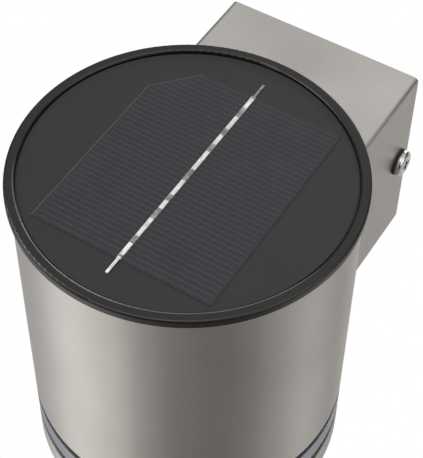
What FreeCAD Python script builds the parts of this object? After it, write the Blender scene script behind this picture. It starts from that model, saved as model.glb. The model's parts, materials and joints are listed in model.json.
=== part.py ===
import FreeCAD, Part
import os
import Sketcher

# A solar fence light: a round steel lamp on a square wall bracket, under a lift-off solar head.
# Millimetres. The origin is the centre of the wall face, +Z is up, and the lamp stands towards -Y.

SIZES = {
    "axis_reach": 72.0,            # wall face to the lamp's axis
    "tube_radius": 45.0,
    "tube_wall": 0.8,
    "tube_length": 80.4,
    "tube_top": 39.4,              # above the middle of the bracket
    "bracket_width": 60.0,
    "bracket_height": 60.0,
    "bracket_wall": 1.2,
    "bend_radius": 1.5,
    "plate_height": 50.0,
    "plate_wall": 1.5,
    "plate_gap": 0.3,
    "flange_depth": 16.0,
    "wall_hole_radius": 2.5,
    "wall_hole_pitch": 36.0,
    "side_screw_back": 6.0,        # side screw to the wall
    "side_screw_height": 1.4,
    "side_washer_thickness": 1.0,
    "bolt_radius": 2.0,
    "bolt_gap": 0.2,
    "bolt_head_radius": 4.0,
    "bolt_head_height": 1.6,
    "nut_across": 7.0,
    "nut_height": 3.2,
    "saddle_wall": 1.2,
    "saddle_pitch": 36.0,
    "saddle_side_gap": 0.5,
    "saddle_head_radius": 3.6,
    "saddle_head_height": 2.2,
    "lens_wall": 2.0,
    "lens_band": 6.4,
    "lens_spigot_length": 12.0,
    "upper_groove": 3.0,           # dark joint between the tube and the lens
    "lower_groove": 3.6,           # dark joint between the lens and the end ring
    "seal_recess": 0.3,            # sleeves in the two joints, below the steel
    "sleeve_wall": 1.3,
    "end_sleeve_wall": 1.0,
    "ring_wall": 0.8,
    "ring_height": 9.0,
    "ring_lip": 4.4,
    "clamp_height": 3.0,
    "clamp_width": 8.2,
    "small_screw_radius": 1.25,
    "small_head_radius": 2.4,
    "small_head_height": 1.6,
    "lens_screw_inset": 5.6,
    "lens_boss_radius": 2.8,
    "cap_overhang": 1.2,           # cap beyond the tube
    "cap_flange": 2.3,
    "cap_neck": 1.2,               # flange left under the panel's rim
    "cap_edge_round": 0.7,
    "rim_width": 2.9,
    "rim_edge_round": 0.6,
    "seal_height": 0.4,
    "seal_overhang": 0.3,
    "skirt_gap": 0.6,
    "skirt_wall": 2.4,
    "skirt_length": 14.0,
    "cord_ring_radius": 0.9,
    "cord_ring_depth": 1.5,
    "cord_ring_drop": 7.7,
    "deck_wall": 2.0,
    "sheet_thickness": 0.3,
    "sheet_gap": 0.4,
    "board_inset": 0.7,            # skirt bore to the panel board
    "board_thickness": 1.6,
    "board_gap": 0.3,
    "bond_thickness": 0.3,
    "bond_width": 6.0,
    "cell_width": 52.0,
    "cell_margin": 1.4,            # cell corner to the sheet's edge
    "cell_thickness": 0.12,
    "cell_shift": 0.6,
    "cell_cut_width": 10.3,
    "cell_cut_length": 11.4,
    "ribbon_width": 1.3,
    "ribbon_shift": 0.4,
    "ribbon_thickness": 0.15,
    "ribbon_tail": 5.0,
    "ribbon_tail_width": 0.6,
    "core_gap": 7.2,               # skirt bore to the core
    "core_wall": 2.0,
    "core_depth": 22.0,
    "cover_thickness": 2.0,
    "cover_spigot": 3.0,
    "cover_fit": 0.3,
    "ear_reach": 3.0,              # core to the ear's hole
    "ear_width": 5.8,
    "ear_thickness": 2.0,
    "post_length": 8.0,
    "lower_ear_height": 5.0,
    "circuit_edge_gap": 2.5,
    "circuit_thickness": 1.6,
    "circuit_gap": 0.8,
    "circuit_screw_inset": 5.5,
    "battery_radius": 7.1,
    "battery_end_gap": 1.5,        # contact to the core's wall
    "battery_nipple": 1.3,
    "battery_nipple_radius": 2.75,
    "battery_offset": 8.0,
    "battery_lift": 0.4,
    "contact_thickness": 0.5,
    "contact_width": 10.0,
    "contact_lean": 2.0,
    "chip_length": 5.0,
    "chip_width": 4.0,
    "chip_height": 1.6,
    "inductor_radius": 4.0,
    "inductor_height": 5.0,
    "capacitor_radius": 3.0,
    "capacitor_height": 8.0,
    "wire_radius": 0.6,
    "wire_spread": 1.5,
    "wire_hole_radius": 3.0,
    "switch_width": 13.0,
    "switch_depth": 5.0,
    "switch_height": 6.0,
    "switch_inset": 1.0,
    "switch_drop": 15.5,           # deck to the middle of the switch
    "switch_travel": 3.0,
    "lever_width": 2.0,
    "lever_height": 2.0,
    "lever_stand": 2.5,            # lever beyond the core
    "lever_gap": 0.5,
    "led_board_radius": 13.0,
    "led_board_thickness": 1.6,
    "led_ring": 7.0,
    "led_side": 5.0,
    "led_height": 1.6,
    "cone_gap": 1.0,
    "cone_wall": 1.4,
    "cone_depth": 25.0,
    "cone_flange_width": 8.2,
    "cone_flange_thickness": 1.4,
    "cone_screw_inset": 2.6,
}

document = FreeCAD.newDocument("fence_light")
sheet = document.addObject("Spreadsheet::Sheet", "Size")
for row, (alias, number) in enumerate(SIZES.items(), start=1):
    sheet.set(f"A{row}", alias)
    sheet.set(f"B{row}", str(number))
    sheet.setAlias(f"B{row}", alias)
document.recompute()

# Heights and radii that follow from the sheet, named once for all the pieces that share them.
TUBE_BORE = "(Size.tube_radius - Size.tube_wall)"
TUBE_BOTTOM = "(Size.tube_top - Size.tube_length)"
SEAL_RADIUS = "(Size.tube_radius - Size.seal_recess)"
HALF_INSIDE = "(Size.bracket_width / 2 - Size.bracket_wall)"
HALF_TALL = "(Size.bracket_height / 2 - Size.bracket_wall)"
HALF_PLATE = f"({HALF_INSIDE} - Size.plate_gap)"
SIDE_SCREW = ("-Size.side_screw_back", "Size.side_screw_height")
BRACKET_DEPTH = "(Size.axis_reach - sqrt(Size.tube_radius ^ 2 - (Size.bracket_width / 2) ^ 2))"
SPIGOT = f"({TUBE_BORE} - Size.sleeve_wall)"
LENS_TOP = f"({TUBE_BOTTOM} - Size.upper_groove)"
LENS_BOTTOM = f"({LENS_TOP} - Size.lens_band)"
SPIGOT_TOP = f"({LENS_TOP} + Size.lens_spigot_length)"
RING_TOP = f"({LENS_BOTTOM} - Size.lower_groove)"
RING_BOTTOM = f"({RING_TOP} - Size.ring_height)"
RING_BORE = f"(Size.tube_radius - Size.ring_wall)"
LOWER_SPIGOT = f"({RING_BORE} - Size.end_sleeve_wall)"
LENS_FLOOR = f"({RING_BOTTOM} + Size.ring_wall)"
LENS_BORE = f"({LOWER_SPIGOT} - Size.lens_wall)"
CLAMP_TOP = f"({SPIGOT_TOP} + Size.clamp_height)"
LENS_SCREW_RING = f"({TUBE_BORE} - Size.lens_screw_inset)"
CAP_RADIUS = "(Size.tube_radius + Size.cap_overhang)"
RIM_RADIUS = f"({CAP_RADIUS} - Size.rim_width)"
CAP_UNDER = "(Size.tube_top + Size.seal_height)"
CAP_TOP = f"({CAP_UNDER} + Size.cap_flange)"
SHELF = f"({CAP_UNDER} + Size.cap_neck)"
SKIRT = f"({TUBE_BORE} - Size.skirt_gap)"
SKIRT_BORE = f"({SKIRT} - Size.skirt_wall)"
SKIRT_BOTTOM = "(Size.tube_top - Size.skirt_length)"
CORD_RING_LEVEL = "(Size.tube_top - Size.cord_ring_drop)"
CORD_RING_SEAT = f"({SKIRT} - Size.cord_ring_depth)"
BOARD_RADIUS = f"({SKIRT_BORE} - Size.board_inset)"
BOARD_BOTTOM = f"({SHELF} - Size.board_thickness)"
DECK_TOP = f"({BOARD_BOTTOM} - Size.bond_thickness)"
DECK = f"({DECK_TOP} - Size.deck_wall)"
SHEET_TOP = f"({SHELF} + Size.sheet_thickness)"
CELL_TOP = f"({SHEET_TOP} + Size.cell_thickness)"
SHEET_RADIUS = f"({RIM_RADIUS} - Size.sheet_gap)"
CELL_HALF_LENGTH = (f"sqrt(({SHEET_RADIUS} - Size.cell_margin) ^ 2"
                    " - (Size.cell_width / 2 + Size.cell_shift) ^ 2)")
CORE_RADIUS = f"({SKIRT_BORE} - Size.core_gap)"
EAR_RING = f"({CORE_RADIUS} + Size.ear_reach)"
CORE_BOTTOM = f"({DECK} - Size.core_depth)"
CORE_BORE = f"({CORE_RADIUS} - Size.core_wall)"
COVER_UNDER = f"({CORE_BOTTOM} - Size.cover_thickness)"
CEILING = f"({DECK} - Size.core_wall)"
CIRCUIT_TOP = f"({CEILING} - Size.circuit_gap)"
CIRCUIT_UNDER = f"({CIRCUIT_TOP} - Size.circuit_thickness)"
POST_END = f"({DECK} - Size.post_length)"
EAR_UNDER = f"({POST_END} - Size.ear_thickness)"
CIRCUIT_RADIUS = f"({CORE_BORE} - Size.circuit_edge_gap)"
CIRCUIT_SCREW_RING = f"({CIRCUIT_RADIUS} - Size.circuit_screw_inset)"
BATTERY_END = (f"(sqrt({CORE_BORE} ^ 2 - (Size.battery_offset + Size.contact_width / 2) ^ 2)"
               " - Size.contact_lean - Size.contact_thickness - Size.battery_end_gap)")
BATTERY_LEVEL = f"({CORE_BOTTOM} + Size.battery_radius + Size.battery_lift)"
SWITCH_LEVEL = f"({DECK} - Size.switch_drop)"
SWITCH_FRONT = f"({CORE_BORE} - Size.switch_inset)"
LED_BOARD_UNDER = f"({COVER_UNDER} - Size.led_board_thickness)"
CONE_TOP = "(Size.led_board_radius + Size.cone_gap)"
CONE_FLANGE = f"({CONE_TOP} + Size.cone_flange_width)"
CONE_SCREW_RING = f"({CONE_FLANGE} - Size.cone_screw_inset)"
CONE_BOTTOM = f"({COVER_UNDER} - Size.cone_depth)"

parts = []


# Helpers. A place or a length is an expression on the sheet, written as text.

def minus(expression):
    return f"-({expression})"


def new_body(label, on_lamp_axis=True):
    """An empty body with its own name, placed on the lamp's axis or at the wall's origin."""
    body = document.addObject("PartDesign::Body", label)
    body.Label = label
    body.AllowCompound = True
    reach = "-Size.axis_reach" if on_lamp_axis else "0"
    body.setExpression("Placement.Base.y", reach)
    parts.append(body)
    return body


def origin_of(body, role):
    return next(item for item in body.Origin.OriginFeatures if item.Role == role)


def value(owner, expression):
    """The number that an expression gives with the sheet as it stands."""
    result = owner.evalExpression(expression)
    return float(getattr(result, "Value", result))


def new_sketch(body, plane, level="0"):
    """A sketch on one of the body's own planes, level above it."""
    sketch = body.newObject("Sketcher::SketchObject", "Outline")
    sketch.AttachmentSupport = (origin_of(body, plane + "_Plane"), [""])
    sketch.MapMode = "FlatFace"
    sketch.setExpression("AttachmentOffset.Base.z", level)
    return sketch


def drive(sketch, kind, curve, point, expression):
    """Ties one point of a curve to the sketch's origin by an expression."""
    number = value(sketch, expression)
    index = sketch.addConstraint(Sketcher.Constraint(kind, -1, 1, curve, point, number))
    sketch.setExpression(f"Constraints[{index}]", expression)


def add_loop(sketch, corners):
    """A closed loop of straight edges through corners, each a pair of expressions."""
    places = [FreeCAD.Vector(value(sketch, x), value(sketch, y), 0) for x, y in corners]
    first = sketch.GeometryCount
    for start, end in zip(places, places[1:] + places[:1]):
        sketch.addGeometry(Part.LineSegment(start, end))
    for index, (x, y) in enumerate(corners):
        before = first + (index - 1) % len(corners)
        sketch.addConstraint(Sketcher.Constraint("Coincident", before, 2, first + index, 1))
        drive(sketch, "DistanceX", first + index, 1, x)
        drive(sketch, "DistanceY", first + index, 1, y)


def add_circle(sketch, x, y, radius):
    centre = FreeCAD.Vector(value(sketch, x), value(sketch, y), 0)
    size = value(sketch, radius)
    curve = sketch.addGeometry(Part.Circle(centre, FreeCAD.Vector(0, 0, 1), size))
    drive(sketch, "DistanceX", curve, 3, x)
    drive(sketch, "DistanceY", curve, 3, y)
    index = sketch.addConstraint(Sketcher.Constraint("Radius", curve, size))
    sketch.setExpression(f"Constraints[{index}]", radius)


def box_corners(x, y, width, length):
    """The corners of a rectangle about x, y."""
    left, right = f"({x}) - ({width}) / 2", f"({x}) + ({width}) / 2"
    low, high = f"({y}) - ({length}) / 2", f"({y}) + ({length}) / 2"
    return [(left, low), (right, low), (right, high), (left, high)]


def pad(sketch, length, symmetric=False, reverse=False):
    body = sketch.getParentGeoFeatureGroup()
    feature = body.newObject("PartDesign::Pad", "Pad")
    feature.Profile = sketch
    feature.SideType = "Symmetric" if symmetric else "One side"
    feature.Reversed = reverse
    feature.setExpression("Length", length)
    document.recompute()
    return feature


def cut(sketch, length):
    """A pocket that runs equally far to both sides of its sketch."""
    body = sketch.getParentGeoFeatureGroup()
    feature = body.newObject("PartDesign::Pocket", "Cut")
    feature.Profile = sketch
    feature.SideType = "Symmetric"
    feature.setExpression("Length", length)
    before = body.Tip.BaseFeature.Shape.Volume if body.Tip.BaseFeature else 0
    document.recompute()
    if feature.Shape.Volume >= before:
        raise RuntimeError(f"a cut in {body.Label} removes nothing")
    return feature


def turn(sketch, axis="V_Axis", angle="360"):
    body = sketch.getParentGeoFeatureGroup()
    feature = body.newObject("PartDesign::Revolution", "Turn")
    feature.Profile = sketch
    feature.ReferenceAxis = (sketch, [axis])
    feature.Midplane = True
    feature.setExpression("Angle", angle)
    document.recompute()
    return feature


def turned(label, corners):
    """A round piece about the lamp's axis, from its half section of radii and heights."""
    body = new_body(label)
    sketch = new_sketch(body, "XZ")
    add_loop(sketch, corners)
    turn(sketch)
    return body


def ring_corners(inner, outer, bottom, top):
    return [(inner, bottom), (outer, bottom), (outer, top), (inner, top)]


def soften(body, radius, wanted):
    """Rounds the edges of the body so far that wanted(edge) picks."""
    base = body.Tip
    names = [f"Edge{n}" for n, edge in enumerate(base.Shape.Edges, start=1) if wanted(edge)]
    feature = body.newObject("PartDesign::Fillet", "Round")
    feature.Base = (base, names)
    feature.setExpression("Radius", radius)
    document.recompute()
    return feature


def is_circle(edge, radius, level):
    """True for a full circle of this radius about Z at this height."""
    if not isinstance(edge.Curve, Part.Circle):
        return False
    centre = edge.Curve.Center
    near_axis = abs(centre.x) + abs(centre.y) < 0.01
    return near_axis and abs(edge.Curve.Radius - radius) < 0.01 and abs(centre.z - level) < 0.01


def repeat_around(body, count, originals=None):
    """Copies features, or the whole piece so far, around the lamp's axis."""
    pattern = body.newObject("PartDesign::PolarPattern", "Around")
    if originals:
        pattern.Originals = originals
    else:
        pattern.TransformMode = "Whole shape"
    pattern.Axis = (origin_of(body, "Z_Axis"), [""])
    pattern.Angle = 360
    pattern.Occurrences = count
    body.Tip = pattern
    document.recompute()


def repeat_mirrored(body, plane):
    """Adds the mirror image of the whole piece so far."""
    mirror = body.newObject("PartDesign::Mirrored", "Mirror")
    mirror.TransformMode = "Whole shape"
    mirror.MirrorPlane = (origin_of(body, plane + "_Plane"), [""])
    body.Tip = mirror
    document.recompute()


def hexagon(x, y, across):
    """The corners of a nut of this size across its flats."""
    reach = f"({across}) / sqrt(3)"
    return [(f"({x}) + {reach} * cos({60 * n} deg)", f"({y}) + {reach} * sin({60 * n} deg)")
            for n in range(6)]


def cross(x, y, reach, arm):
    """The outline of a cross recess about x, y."""
    steps = [(1, -arm), (1, arm), (arm, arm), (arm, 1), (-arm, 1), (-arm, arm),
             (-1, arm), (-1, -arm), (-arm, -arm), (-arm, -1), (arm, -1), (arm, -arm)]
    return [(f"({x}) + {across} * ({reach})", f"({y}) + {along} * ({reach})")
            for across, along in steps]


def screw(label, plane, seat, spot, shank, length, head, height, head_up=True, on_lamp_axis=True):
    """A pan-head screw along a plane's normal: its head stands on seat, with a cross recess."""
    body = new_body(label, on_lamp_axis)
    head_sketch = new_sketch(body, plane, seat)
    add_circle(head_sketch, *spot, head)
    top = pad(head_sketch, height, reverse=not head_up)
    end_level = value(body, f"({seat}) {'+' if head_up else '-'} ({height})")
    normal = FreeCAD.Vector(*{"XY": (0, 0, 1), "XZ": (0, -1, 0), "YZ": (1, 0, 0)}[plane])

    def at_end(edge):
        round_edge = isinstance(edge.Curve, Part.Circle)
        return round_edge and abs(edge.Curve.Center.dot(normal) - end_level) < 0.01

    soften(body, f"({height}) * 0.7", at_end)
    shank_sketch = new_sketch(body, plane, seat)
    add_circle(shank_sketch, *spot, shank)
    pad(shank_sketch, length, reverse=head_up)
    recess = new_sketch(body, plane, f"({seat}) {'+' if head_up else '-'} ({height})")
    add_loop(recess, cross(*spot, f"({head}) * 0.5", 0.22))
    cut(recess, f"({height}) * 0.9")
    return body


# The holder: a U-shaped wall plate inside a square folded bracket.

def make_wall_plate():
    body = new_body("wall_plate", on_lamp_axis=False)
    sketch = new_sketch(body, "XY")
    inner = f"({HALF_PLATE} - Size.plate_wall)"
    add_loop(sketch, [(minus(HALF_PLATE), "0"), (HALF_PLATE, "0"),
                      (HALF_PLATE, "-Size.flange_depth"), (inner, "-Size.flange_depth"),
                      (inner, "-Size.plate_wall"), (minus(inner), "-Size.plate_wall"),
                      (minus(inner), "-Size.flange_depth"), (minus(HALF_PLATE), "-Size.flange_depth")])
    pad(sketch, "Size.plate_height", symmetric=True)
    soften(body, "Size.plate_wall", lambda edge: abs(edge.CenterOfMass.y) < 0.01
           and abs(abs(edge.CenterOfMass.x) - value(body, HALF_PLATE)) < 0.01 and is_upright(edge))
    wall_holes = new_sketch(body, "XZ")
    for side in ("-", ""):
        add_circle(wall_holes, "0", f"{side}Size.wall_hole_pitch / 2", "Size.wall_hole_radius")
    cut(wall_holes, "Size.plate_wall * 4")
    side_holes = new_sketch(body, "YZ")
    add_circle(side_holes, *SIDE_SCREW, "Size.bolt_radius + Size.bolt_gap")
    cut(side_holes, "Size.bracket_width")


def is_upright(edge):
    ends = [vertex.Point for vertex in edge.Vertexes]
    return len(ends) == 2 and abs(ends[0].z - ends[1].z) > 1 and ends[0].distanceToPoint(
        FreeCAD.Vector(ends[1].x, ends[1].y, ends[0].z)) < 0.01


def make_bracket_box():
    """A folded square tube, cut at the front to sit on the round lamp."""
    body = new_body("bracket_box", on_lamp_axis=False)
    outside = new_sketch(body, "XZ")
    add_loop(outside, box_corners("0", "0", "Size.bracket_width", "Size.bracket_height"))
    pad(outside, f"{BRACKET_DEPTH} + Size.bracket_wall")

    def is_fold(edge):
        ends = [vertex.Point for vertex in edge.Vertexes]
        return abs(ends[0].y - ends[1].y) > 1

    soften(body, "Size.bend_radius", is_fold)
    inside = new_sketch(body, "XZ")
    add_loop(inside, box_corners("0", "0", f"{HALF_INSIDE} * 2", f"{HALF_TALL} * 2"))
    cut(inside, "Size.axis_reach * 2")
    front = new_sketch(body, "XY")
    add_circle(front, "0", "-Size.axis_reach", "Size.tube_radius")
    cut(front, "Size.bracket_height * 2")
    side_holes = new_sketch(body, "YZ")
    add_circle(side_holes, *SIDE_SCREW, "Size.bolt_radius + Size.bolt_gap")
    cut(side_holes, "Size.bracket_width * 2")


def make_side_fixings():
    nuts = new_body("side_nuts", on_lamp_axis=False)
    sketch = new_sketch(nuts, "YZ", f"{HALF_PLATE} - Size.plate_wall")
    add_loop(sketch, hexagon(*SIDE_SCREW, "Size.nut_across"))
    add_circle(sketch, *SIDE_SCREW, "Size.bolt_radius")
    pad(sketch, "Size.nut_height", reverse=True)
    repeat_mirrored(nuts, "YZ")
    washers = new_body("side_washers", on_lamp_axis=False)
    washer_sketch = new_sketch(washers, "YZ", "Size.bracket_width / 2")
    add_circle(washer_sketch, *SIDE_SCREW, "Size.bolt_head_radius")
    add_circle(washer_sketch, *SIDE_SCREW, "Size.bolt_radius + Size.bolt_gap")
    pad(washer_sketch, "Size.side_washer_thickness")
    repeat_mirrored(washers, "YZ")
    length = ("Size.side_washer_thickness + Size.bracket_wall + Size.plate_gap + Size.plate_wall"
              " + Size.nut_height + Size.bolt_radius")
    screws = screw("side_screws", "YZ", "Size.bracket_width / 2 + Size.side_washer_thickness",
                   SIDE_SCREW, "Size.bolt_radius", length, "Size.bolt_head_radius", "Size.bolt_head_height",
                   on_lamp_axis=False)
    repeat_mirrored(screws, "YZ")


def make_saddle():
    """A curved plate welded in the bracket, which two screws draw against the tube."""
    body = new_body("saddle_plate")
    sketch = new_sketch(body, "YZ")
    outer = "(Size.tube_radius + Size.saddle_wall)"
    add_loop(sketch, ring_corners("Size.tube_radius", outer, minus(HALF_TALL), HALF_TALL))
    turn(sketch, angle=f"2 * asin(({HALF_INSIDE} - Size.saddle_side_gap) / {outer})")
    holes = new_sketch(body, "XZ", minus(outer))
    for side in ("-", ""):
        add_circle(holes, "0", f"{side}Size.saddle_pitch / 2", "Size.bolt_radius + Size.bolt_gap")
    cut(holes, "Size.saddle_wall * 6")

    nuts = new_body("saddle_nuts")
    nut_sketch = new_sketch(nuts, "XZ", minus(outer))
    add_loop(nut_sketch, hexagon("0", "Size.saddle_pitch / 2", "Size.nut_across"))
    add_circle(nut_sketch, "0", "Size.saddle_pitch / 2", "Size.bolt_radius")
    pad(nut_sketch, "Size.nut_height", reverse=True)
    repeat_mirrored(nuts, "XY")

    seat = f"sqrt({TUBE_BORE} ^ 2 - Size.saddle_head_radius ^ 2)"
    length = f"{outer} - {seat} + Size.nut_height + Size.bolt_radius / 2"
    screws = screw("saddle_screws", "XZ", minus(seat), ("0", "Size.saddle_pitch / 2"), "Size.bolt_radius",
                   length, "Size.saddle_head_radius", "Size.saddle_head_height")
    repeat_mirrored(screws, "XY")


# The lamp: steel tube, clear lens, end ring and the dark sleeves in its two joints.

def make_tube():
    body = turned("tube_shell", ring_corners(TUBE_BORE, "Size.tube_radius", TUBE_BOTTOM, "Size.tube_top"))
    holes = new_sketch(body, "XZ", "-Size.tube_radius")
    for side in ("-", ""):
        add_circle(holes, "0", f"{side}Size.saddle_pitch / 2", "Size.bolt_radius + Size.bolt_gap")
    cut(holes, "Size.tube_wall * 6")


def make_lens():
    body = turned("lens", [
        ("0", LENS_FLOOR), (LOWER_SPIGOT, LENS_FLOOR), (LOWER_SPIGOT, LENS_BOTTOM),
        ("Size.tube_radius", LENS_BOTTOM), ("Size.tube_radius", LENS_TOP), (SPIGOT, LENS_TOP),
        (SPIGOT, SPIGOT_TOP), (LENS_BORE, SPIGOT_TOP), (LENS_BORE, f"{LENS_FLOOR} + Size.lens_wall"),
        ("0", f"{LENS_FLOOR} + Size.lens_wall")])
    boss_sketch = new_sketch(body, "XY", SPIGOT_TOP)
    add_circle(boss_sketch, "0", minus(LENS_SCREW_RING), "Size.lens_boss_radius")
    boss = pad(boss_sketch, "Size.lens_spigot_length", reverse=True)
    hole_sketch = new_sketch(body, "XY", SPIGOT_TOP)
    add_circle(hole_sketch, "0", minus(LENS_SCREW_RING), "Size.small_screw_radius")
    hole = cut(hole_sketch, "Size.lens_spigot_length * 1.7")
    repeat_around(body, 3, [boss, hole])


def make_lower_pieces():
    turned("tube_sleeve", [
        (SPIGOT, LENS_TOP), (SEAL_RADIUS, LENS_TOP), (SEAL_RADIUS, TUBE_BOTTOM), (TUBE_BORE, TUBE_BOTTOM),
        (TUBE_BORE, SPIGOT_TOP), (SPIGOT, SPIGOT_TOP)])
    turned("end_sleeve", [
        (LOWER_SPIGOT, LENS_FLOOR), (RING_BORE, LENS_FLOOR), (RING_BORE, RING_TOP), (SEAL_RADIUS, RING_TOP),
        (SEAL_RADIUS, LENS_BOTTOM), (LOWER_SPIGOT, LENS_BOTTOM)])
    lip = f"Size.tube_radius - Size.ring_lip"
    ring = turned("end_ring", [
        (lip, RING_BOTTOM), ("Size.tube_radius", RING_BOTTOM),
        ("Size.tube_radius", RING_TOP), (RING_BORE, RING_TOP), (RING_BORE, LENS_FLOOR),
        (lip, LENS_FLOOR)])
    rim = value(ring, "Size.tube_radius"), value(ring, RING_BOTTOM)
    soften(ring, "Size.ring_wall * 0.8", lambda edge: is_circle(edge, *rim))

    clamp_bore = f"{TUBE_BORE} - Size.clamp_width"
    clamp = turned("clamp_ring", ring_corners(clamp_bore, TUBE_BORE, SPIGOT_TOP, CLAMP_TOP))
    hole_sketch = new_sketch(clamp, "XY", CLAMP_TOP)
    add_circle(hole_sketch, "0", minus(LENS_SCREW_RING), "Size.small_screw_radius + Size.bolt_gap")
    hole = cut(hole_sketch, "Size.clamp_height * 3")
    repeat_around(clamp, 3, [hole])
    screws = screw("lens_screws", "XY", CLAMP_TOP, ("0", minus(LENS_SCREW_RING)),
                   "Size.small_screw_radius", "Size.clamp_height + Size.lens_spigot_length * 0.7",
                   "Size.small_head_radius", "Size.small_head_height")
    repeat_around(screws, 3)


# The solar head: a black cap with the panel on top and the works hung below it.

def make_cap():
    groove_low = f"({CORD_RING_LEVEL} - Size.cord_ring_radius)"
    groove_high = f"({CORD_RING_LEVEL} + Size.cord_ring_radius)"
    pocket = f"({BOARD_RADIUS} + Size.board_gap)"
    body = turned("cap_housing", [
        ("0", DECK), (SKIRT_BORE, DECK), (SKIRT_BORE, SKIRT_BOTTOM), (SKIRT, SKIRT_BOTTOM),
        (SKIRT, groove_low), (CORD_RING_SEAT, groove_low), (CORD_RING_SEAT, groove_high),
        (SKIRT, groove_high), (SKIRT, CAP_UNDER), (CAP_RADIUS, CAP_UNDER),
        (CAP_RADIUS, CAP_TOP), (RIM_RADIUS, CAP_TOP), (RIM_RADIUS, SHELF),
        (pocket, SHELF), (pocket, DECK_TOP), ("0", DECK_TOP)])
    outer = value(body, CAP_RADIUS), value(body, CAP_TOP)
    inner = value(body, RIM_RADIUS), value(body, CAP_TOP)
    soften(body, "Size.cap_edge_round", lambda edge: is_circle(edge, *outer))
    soften(body, "Size.rim_edge_round", lambda edge: is_circle(edge, *inner))
    post_sketch = new_sketch(body, "XY", DECK)
    add_circle(post_sketch, "0", EAR_RING, "Size.ear_width / 2")
    post = pad(post_sketch, "Size.post_length", reverse=True)
    hole_sketch = new_sketch(body, "XY", POST_END)
    add_circle(hole_sketch, "0", EAR_RING, "Size.small_screw_radius")
    hole = cut(hole_sketch, "Size.post_length * 1.6")
    repeat_around(body, 3, [post, hole])
    wires = new_sketch(body, "XY", DECK)
    add_circle(wires, "0", f"{BOARD_RADIUS} * 0.3", "Size.wire_hole_radius")
    cut(wires, "Size.deck_wall * 4")

    seal_inner = f"({SKIRT} + Size.bolt_gap)"
    seal_outer = "(Size.tube_radius + Size.seal_overhang)"
    turned("cap_seal", ring_corners(seal_inner, seal_outer, "Size.tube_top", CAP_UNDER))
    cord_ring = new_body("skirt_ring")
    sketch = new_sketch(cord_ring, "XZ")
    centre = f"{CORD_RING_SEAT} + Size.cord_ring_radius"
    add_circle(sketch, centre, CORD_RING_LEVEL, "Size.cord_ring_radius")
    turn(sketch)


def make_panel():
    inner_bond = f"({BOARD_RADIUS} - Size.bond_width)"
    turned("panel_bond", ring_corners(inner_bond, BOARD_RADIUS, DECK_TOP, BOARD_BOTTOM))
    turned("solar_board", ring_corners("0", BOARD_RADIUS, BOARD_BOTTOM, SHELF))
    turned("panel_sheet", ring_corners("0", SHEET_RADIUS, SHELF, SHEET_TOP))

    left, right = "Size.cell_shift - Size.cell_width / 2", "Size.cell_shift + Size.cell_width / 2"
    cell = new_body("solar_cell")
    sketch = new_sketch(cell, "XY", SHEET_TOP)
    add_loop(sketch, [(left, minus(CELL_HALF_LENGTH)), (right, minus(CELL_HALF_LENGTH)),
                      (right, CELL_HALF_LENGTH), (f"{left} + Size.cell_cut_width", CELL_HALF_LENGTH),
                      (left, f"{CELL_HALF_LENGTH} - Size.cell_cut_length")])
    pad(sketch, "Size.cell_thickness")

    ribbon = new_body("cell_ribbon")
    strip = new_sketch(ribbon, "XY", CELL_TOP)
    add_loop(strip, box_corners("Size.ribbon_shift", "0", "Size.ribbon_width", f"{CELL_HALF_LENGTH} * 2"))
    pad(strip, "Size.ribbon_thickness")
    tails = new_sketch(ribbon, "XY", SHEET_TOP)
    for side in ("-", ""):
        centre = f"{side}({CELL_HALF_LENGTH} + Size.ribbon_tail / 2)"
        size = ("Size.ribbon_tail_width", "Size.ribbon_tail")
        add_loop(tails, box_corners("Size.ribbon_shift", centre, *size))
    pad(tails, "Size.cell_thickness + Size.ribbon_thickness")


def ear_corners():
    """The outline of a screw ear that grows from the core's wall, towards +Y."""
    half = "Size.ear_width / 2"
    tip = f"{EAR_RING} + {half}"
    root = f"{CORE_RADIUS} - Size.core_wall / 2"
    return [(minus(half), root), (half, root), (half, f"{tip} - {half} * 0.5"),
            (f"{half} * 0.5", tip), (f"-{half} * 0.5", tip), (minus(half), f"{tip} - {half} * 0.5")]


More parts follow.
